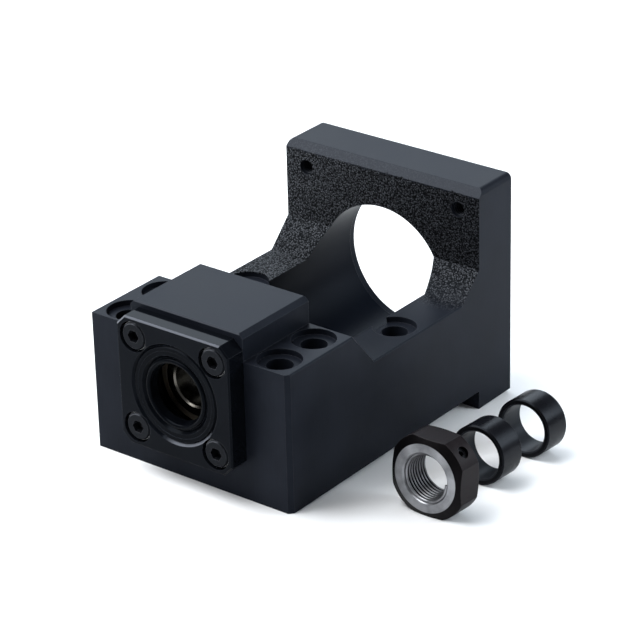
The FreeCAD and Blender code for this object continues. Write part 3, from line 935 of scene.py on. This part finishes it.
@dataclass
class Bracket(SubAssembly):
    """The one-piece bracket with its bearing block, walls, webs and motor plate.

    The shoulders' slopes are sunk into the block and the walls by seam. On the outer sides they lap over the edges
    that they cover, and stand proud of them by skin, so that no line shows between slope and bracket.
    """

    block_back: float = 0.0125
    half_width: float = 0.030
    shoulder_top: float = 0.0365
    wall_top: float = 0.0268
    web_top: float = 0.0338
    slope_reach: float = 0.0082
    slope_steps: int = 16
    edge_break: float = 0.00035
    seam: float = 0.00005
    lap: float = 0.0003
    skin: float = 0.000005
    plate_bevel: float = 0.002
    trough_radius: float = 0.0184
    axis_height: float = AXIS_HEIGHT
    motor_spacing: float = 0.04714
    hole_radius: float = 0.002
    thread_crest: float = 0.00165
    thread_pitch: float = 0.0007
    turn_steps: int = 32
    blind_depth: float = 0.012
    thread_oxide: BlackOxide = BlackOxide(
        "hole_black_oxide", (0.0030, 0.0036, 0.0050), (0.0080, 0.0092, 0.0120), 0.34, 0.44)

    def build(self) -> None:
        """Slope the shoulders down to the walls and thread the motor's holes."""
        self.keep("shoulder_slopes", self.make_slopes(), "bracket", "black_iron")
        self.keep("motor_hole_threads", self.make_threads(), "bracket", "black_iron")

    def slope_outline(self, side: float, share: float) -> list[Vector]:
        """Give the outline of a shoulder's slope at one level.

        Args:
            side: -1 for the left slope and 1 for the right one.
            share: the level, from 0 on the wall to 1 at the shoulder's top.

        Returns:
            The corners, from the bore along the slope to the outer side and back along the block.
        """
        up = self.wall_top + (self.shoulder_top - self.wall_top) * share
        inner = math.sqrt(self.trough_radius ** 2 - (up - self.axis_height) ** 2)
        broken, outer = self.half_width - self.edge_break, self.half_width + self.skin
        near, far = self.block_back - self.seam, self.block_back + self.slope_reach * (1.0 - share)
        top, low = up, up - self.edge_break
        if share == 0.0:
            top, low = top - self.seam, low - self.lap
        corners = [(inner, near, top), (inner, far, top), (broken, far, top), (outer, far, low),
                   (outer, self.block_back - self.lap, low), (broken, near, top)]
        return [Vector((side * across, along, height)) for across, along, height in corners]

    def make_slopes(self) -> bpy.types.Mesh:
        """Make the slopes that lead from the block's shoulders down to the side walls.

        Returns:
            The mesh of both slopes, cut back to the bore of the trough.
        """
        whole = bmesh.new()
        for side in (-1.0, 1.0):
            rings = [[whole.verts.new(corner) for corner in self.slope_outline(side, step / self.slope_steps)]
                     for step in range(self.slope_steps + 1)]
            for lower, upper in zip(rings, rings[1:]):
                for corner in range(len(lower)):
                    whole.faces.new((lower[corner - 1], lower[corner], upper[corner], upper[corner - 1]))
            for ring in (rings[0], rings[-1]):
                whole.faces.new((ring[0], ring[1], ring[2], ring[5]))
                whole.faces.new(ring[2:])
        bmesh.ops.recalc_face_normals(whole, faces=whole.faces)
        mesh = bpy.data.meshes.new("shoulder_slopes")
        whole.to_mesh(mesh)
        whole.free()
        mesh.materials.append(replace(self.casting(), name="cast_black_slope", edge_radius=0.0).shared())
        return mesh

    def make_threads(self) -> bpy.types.Mesh:
        """Make the threads of the motor's holes, which go through at the plate's top and stop short at its bottom.

        Returns:
            The mesh of all four.
        """
        motor_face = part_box("bracket_body")[1].y
        half = self.motor_spacing / 2
        recipe = ThreadRecipe()
        material = self.thread_oxide.shared()
        meshes = []
        for across in (-half, half):
            for up, depth in ((half, PLATE_THICKNESS), (-half, self.blind_depth)):
                sizes = {
                    "Root Radius": self.hole_radius,
                    "Depth": self.hole_radius - self.thread_crest,
                    "Pitch": self.thread_pitch,
                    "Length": depth - 2 * self.thread_pitch,
                    "Turn Steps": self.turn_steps,
                }
                middle = (across, motor_face - depth / 2, self.axis_height + up)
                meshes.append(laid(recipe.make(sizes, material), middle))
        return joined("motor_hole_threads", meshes)

    def casting(self) -> CastOxide:
        """Give the casting's finish, with its zones at this bracket's sizes."""
        plate_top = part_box("bracket_body")[1].z
        return CastOxide(
            "cast_black_oxide", self.block_back, self.wall_top, self.web_top, plate_top, self.plate_bevel,
            self.axis_height, self.trough_radius)

    def dress(self) -> None:
        """Finish the casting."""
        self.dress_nodes(self.casting(), "bracket_body")


@dataclass
class CoverSet(SubAssembly):
    """The bearing cover with its four screws and the two oil seals."""

    screw_spacing: float = 0.02404
    axis_height: float = AXIS_HEIGHT
    head_radius: float = 0.0035
    head_bevel: float = 0.0006
    knurl_height: float = 0.0028
    knurl_count: int = 44
    rib_width: float = 0.0003
    # The cover's and the screws' faces that look towards the front-left light get a painted highlight.
    cover_oxide: BlackOxide = BlackOxide(
        "ground_black_oxide", (0.0018, 0.0023, 0.0034), (0.0036, 0.0044, 0.0062), 0.05, 0.10, gloss=0.04,
        lay=Lay.ACROSS, mark_depth=0.000001, edge_wear_and_highlight=(0.022, 0.024, 0.029), window_highlight=(0.10, 0.106, 0.122))
    screw_oxide: BlackOxide = BlackOxide(
        "screw_black_oxide", (0.0028, 0.0032, 0.0042), (0.0070, 0.0078, 0.0094), 0.26, 0.38, gloss=0.06,
        edge_wear_and_highlight=(0.060, 0.062, 0.070), window_highlight=(0.075, 0.078, 0.088))
    rubber: Moulding = Moulding(
        "moulded_rubber", (0.0010, 0.0013, 0.0020), (0.0022, 0.0027, 0.0038), (0.024, 0.027, 0.034), 0.14, 0.22,
        gloss=0.03, sheen=COOL_SHEEN)

    def build(self) -> None:
        """Knurl the screw heads."""
        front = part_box("cover_screws")[0].y
        half = self.screw_spacing / 2
        recipe = KnurlRecipe()
        sizes = {
            "Radius": self.head_radius,
            "Height": self.knurl_height,
            "Rib Width": self.rib_width,
            "Count": self.knurl_count,
        }
        material = self.screw_oxide.shared()
        along = front + self.head_bevel + self.knurl_height / 2
        meshes = [laid(recipe.make(sizes, material), (across, along, self.axis_height + up))
                  for across in (-half, half) for up in (-half, half)]
        self.keep("cover_screw_knurls", joined("cover_screw_knurls", meshes), "bracket", "screw_steel")

    def dress(self) -> None:
        """Finish the cover, its screws and the seals."""
        self.dress_nodes(self.cover_oxide, "bearing_cover")
        self.dress_nodes(self.screw_oxide, "cover_screws")
        self.dress_nodes(self.rubber, "front_oil_seal", "rear_oil_seal")


@dataclass
class BearingPair(SubAssembly):
    """The two angular contact bearings in the block."""

    # Painted shade: the rings' steel is coloured far darker than bare steel, for the shade inside the block.
    ring_steel_in_shade: BrightMetal = BrightMetal(
        "ring_steel_in_shade", (0.066, 0.061, 0.053), (0.135, 0.127, 0.112), 0.18, 0.30, lay=Lay.LENGTHWISE)
    ball_steel: BrightMetal = BrightMetal("ball_steel", (0.60, 0.60, 0.61), (0.68, 0.68, 0.69), 0.05, 0.10)
    nylon: Moulding = Moulding(
        "cage_nylon", (0.030, 0.025, 0.018), (0.055, 0.045, 0.032), (0.075, 0.062, 0.045), 0.40, 0.55)

    def build(self) -> None:
        """The bearings need no pieces beside their solids."""

    def dress(self) -> None:
        """Finish the rings, the balls and the cages."""
        for end in ("front", "rear"):
            self.dress_nodes(self.ring_steel_in_shade, f"{end}_bearing_outer_ring", f"{end}_bearing_inner_ring")
            self.dress_nodes(self.ball_steel, f"{end}_bearing_balls")
            self.dress_nodes(self.nylon, f"{end}_bearing_cage")


@dataclass
class ClampingSet(SubAssembly):
    """The lock nut and the two collars, lying in a row on the table."""

    table_tilt: float
    nut_length: float = 0.0086
    nut_face_radius: float = 0.00865
    thread_root: float = 0.00615
    thread_crest: float = 0.00556
    thread_pitch: float = 0.001
    turn_steps: int = 96
    mouth_bevel: float = 0.00035
    collar_bore: float = 0.00608
    collar_bevel: float = 0.0003
    set_screw_oxide: BlackOxide = BlackOxide(
        "set_screw_black_oxide", (0.003, 0.003, 0.003), (0.009, 0.009, 0.010), 0.30, 0.42, gloss=0.08)
    brass: BrightMetal = BrightMetal("soft_brass", (0.48, 0.33, 0.11), (0.62, 0.45, 0.18), 0.22, 0.35)

    def __post_init__(self) -> None:
        """Find the nut and the collars, which share an axis, and settle their finishes."""
        self.nut_centre = sum(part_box("lock_nut"), Vector()) / 2
        collar_centre = sum(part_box("front_collar"), Vector()) / 2
        self.nut_oxide = TurnedOxide(
            "nut_brown_oxide", tuple(self.nut_centre), -self.table_tilt, self.thread_root + self.mouth_bevel,
            self.nut_length / 2, self.nut_face_radius, self.thread_root, self.thread_crest)
        self.collar_oxide = TurnedOxide(
            "collar_black_oxide", tuple(collar_centre), -self.table_tilt, self.collar_bore + self.collar_bevel,
            deep=(0.0026, 0.0027, 0.0038), light=(0.0046, 0.0048, 0.0064), edge_wear_and_highlight=(0.018, 0.018, 0.022),
            gloss=0.08, sheen=COOL_SHEEN, polish=0.26, haze=0.32, steel=(0.022, 0.024, 0.028),
            dull_steel=(0.010, 0.011, 0.013), brightness=0.0, mark_share=0.08, scuff_size=0.009)

    def build(self) -> None:
        """Cut the nut's thread."""
        sizes = {
            "Root Radius": self.thread_root,
            "Depth": self.thread_root - self.thread_crest,
            "Pitch": self.thread_pitch,
            "Length": self.nut_length - 2 * self.mouth_bevel,
            "Turn Steps": self.turn_steps,
        }
        mesh = ThreadRecipe().make(sizes, self.nut_oxide.shared())
        onto_axis = Matrix.Rotation(-QUARTER_TURN - self.table_tilt, 4, "X")
        mesh.transform(Matrix.Translation(self.nut_centre) @ onto_axis)
        self.keep("lock_nut_thread", mesh, "bracket", "nut_steel")

    def dress(self) -> None:
        """Finish the nut, its set screw and pad, and the collars."""
        self.dress_nodes(self.nut_oxide, "lock_nut")
        self.dress_nodes(self.set_screw_oxide, "nut_set_screw")
        self.dress_nodes(self.brass, "nut_set_pad")
        self.dress_nodes(self.collar_oxide, "front_collar", "rear_collar")


@dataclass(frozen=True)
class SoftLight:
    """A square softbox, placed by its direction from the mount."""

    name: str
    azimuth: float
    elevation: float
    distance: float
    width: float
    power: float
    colour: Colour = (1.0, 1.0, 1.0)

    def hang(self, target: Vector) -> None:
        """Hang the softbox so that it faces a target.

        Args:
            target: the point that it faces.
        """
        lamp = bpy.data.lights.new(self.name, "AREA")
        lamp.size = self.width
        lamp.energy = self.power
        lamp.color = self.colour
        box = put(self.name, lamp)
        towards = direction(self.azimuth, self.elevation)
        box.location = target + towards * self.distance
        box.rotation_euler = towards.to_track_quat("Z", "Y").to_euler()


@dataclass(frozen=True)
class PhotoCamera:
    """The photograph's camera: angles about the mount, in degrees, and its picture's sizes, in pixels."""

    azimuth: float = 38.384
    elevation: float = 25.971
    roll: float = -1.575
    distance: float = 0.73931
    focal_length: float = 2993.93
    picture_width: float = 640.0
    right_of_centre: float = -14.85
    above_centre: float = -1.65
    sensor_width: float = 36.0

    def stand(self, target: Vector) -> None:
        """Stand the camera at the photograph's angle and make it the scene's own.

        Args:
            target: the point on the mount that it looks at.
        """
        back = direction(self.azimuth, self.elevation)
        right = Vector((0.0, 0.0, 1.0)).cross(back).normalized()
        up = back.cross(right)
        axes = Matrix((right, up, back)).transposed().to_4x4()
        lens = bpy.data.cameras.new("photo_camera")
        lens.sensor_width = self.sensor_width
        lens.lens = self.sensor_width * self.focal_length / self.picture_width
        lens.shift_x = -self.right_of_centre / self.picture_width
        lens.shift_y = self.above_centre / self.picture_width
        lens.clip_start = self.distance / 100.0
        camera = put("photo_camera", lens)
        turned = axes @ Matrix.Rotation(math.radians(self.roll), 4, "Z")
        camera.matrix_world = Matrix.Translation(target + back * self.distance) @ turned
        bpy.context.scene.camera = camera


@dataclass
class Studio:
    """The pale table, the soft light and the camera."""

    table_tilt: float
    front_edge: Vector
    target: Vector
    table_width: float = 6.0
    sky: Colour = (0.90, 0.94, 1.0)
    sky_strength: float = 0.24
    backdrop_strength: float = 1.05
    lights: tuple[SoftLight, ...] = (
        SoftLight("front_left", -52.0, 56.0, 0.95, 0.9, 19.0, (0.96, 0.98, 1.0)),
        SoftLight("behind_left", 218.4, 34.0, 0.9, 0.7, 5.4, (0.80, 0.90, 1.0)),
        SoftLight("right_rear", 128.0, 22.0, 0.32, 0.18, 0.68, (0.85, 0.93, 1.0)),
    )

    def build(self) -> None:
        """Set the table, hang the lights and stand the camera."""
        self.set_table()
        bpy.context.scene.world = self.make_world()
        bpy.context.scene.view_settings.view_transform = "Standard"
        for light in self.lights:
            light.hang(self.target)
        PhotoCamera().stand(self.target)

    def make_world(self) -> bpy.types.World:
        """Make the soft light from all round, with a pale backdrop behind the table.

        Returns:
            The world.
        """
        world = bpy.data.worlds.new("studio")
        world.use_nodes = True
        tree = world.node_tree
        sky = tree.nodes["Background"]
        sky.inputs["Color"].default_value = (*self.sky, 1.0)
        seen = tree.nodes.new("ShaderNodeLightPath").outputs["Is Camera Ray"]
        strength = tree.nodes.new("ShaderNodeMapRange")
        strength.inputs["To Min"].default_value = self.sky_strength
        strength.inputs["To Max"].default_value = self.backdrop_strength
        tree.links.new(seen, strength.inputs["Value"])
        tree.links.new(strength.outputs["Result"], sky.inputs["Strength"])
        return world

    def set_table(self) -> None:
        """Lay the table under the mount's two lower edges, which slope because the plate reaches lower."""
        half = self.table_width / 2
        corners = [Vector((across, along, 0.0))
                   for across, along in ((-half, -half), (half, -half), (half, half), (-half, half))]
        lie = Matrix.Translation(self.front_edge) @ Matrix.Rotation(-self.table_tilt, 4, "X")
        mesh = bpy.data.meshes.new("table")
        mesh.from_pydata([lie @ corner for corner in corners], [], [(0, 1, 2, 3)])
        table = put("table", mesh)
        Paper("pale_paper", (0.88, 0.88, 0.88), (0.90, 0.90, 0.90)).dress(table)
        LOG.info("table: sloped by %.2f degrees", math.degrees(self.table_tilt))


def direction(azimuth: float, elevation: float) -> Vector:
    """Give the way from the mount to a point around it.

    Args:
        azimuth: turn about the upright, in degrees, from straight in front towards the right.
        elevation: angle above the base, in degrees.

    Returns:
        A vector of length one.
    """
    turn, rise = math.radians(azimuth), math.radians(elevation)
    return Vector((math.sin(turn) * math.cos(rise), -math.cos(turn) * math.cos(rise), math.sin(rise)))


def main() -> None:
    """Build every sub-assembly, then the studio around them."""
    logging.basicConfig(level=logging.INFO, format="%(name)s: %(message)s")
    low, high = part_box("bracket_body")
    plate_front = high.y - PLATE_THICKNESS
    table_tilt = math.atan2(-low.z, plate_front - low.y)
    for assembly in (Bracket(), CoverSet(), BearingPair(), ClampingSet(table_tilt)):
        assembly.build()
        assembly.dress()
    Studio(table_tilt, Vector((0.0, low.y, 0.0)), Vector(CAMERA_TARGET)).build()


if __name__ == "__main__":
    main()
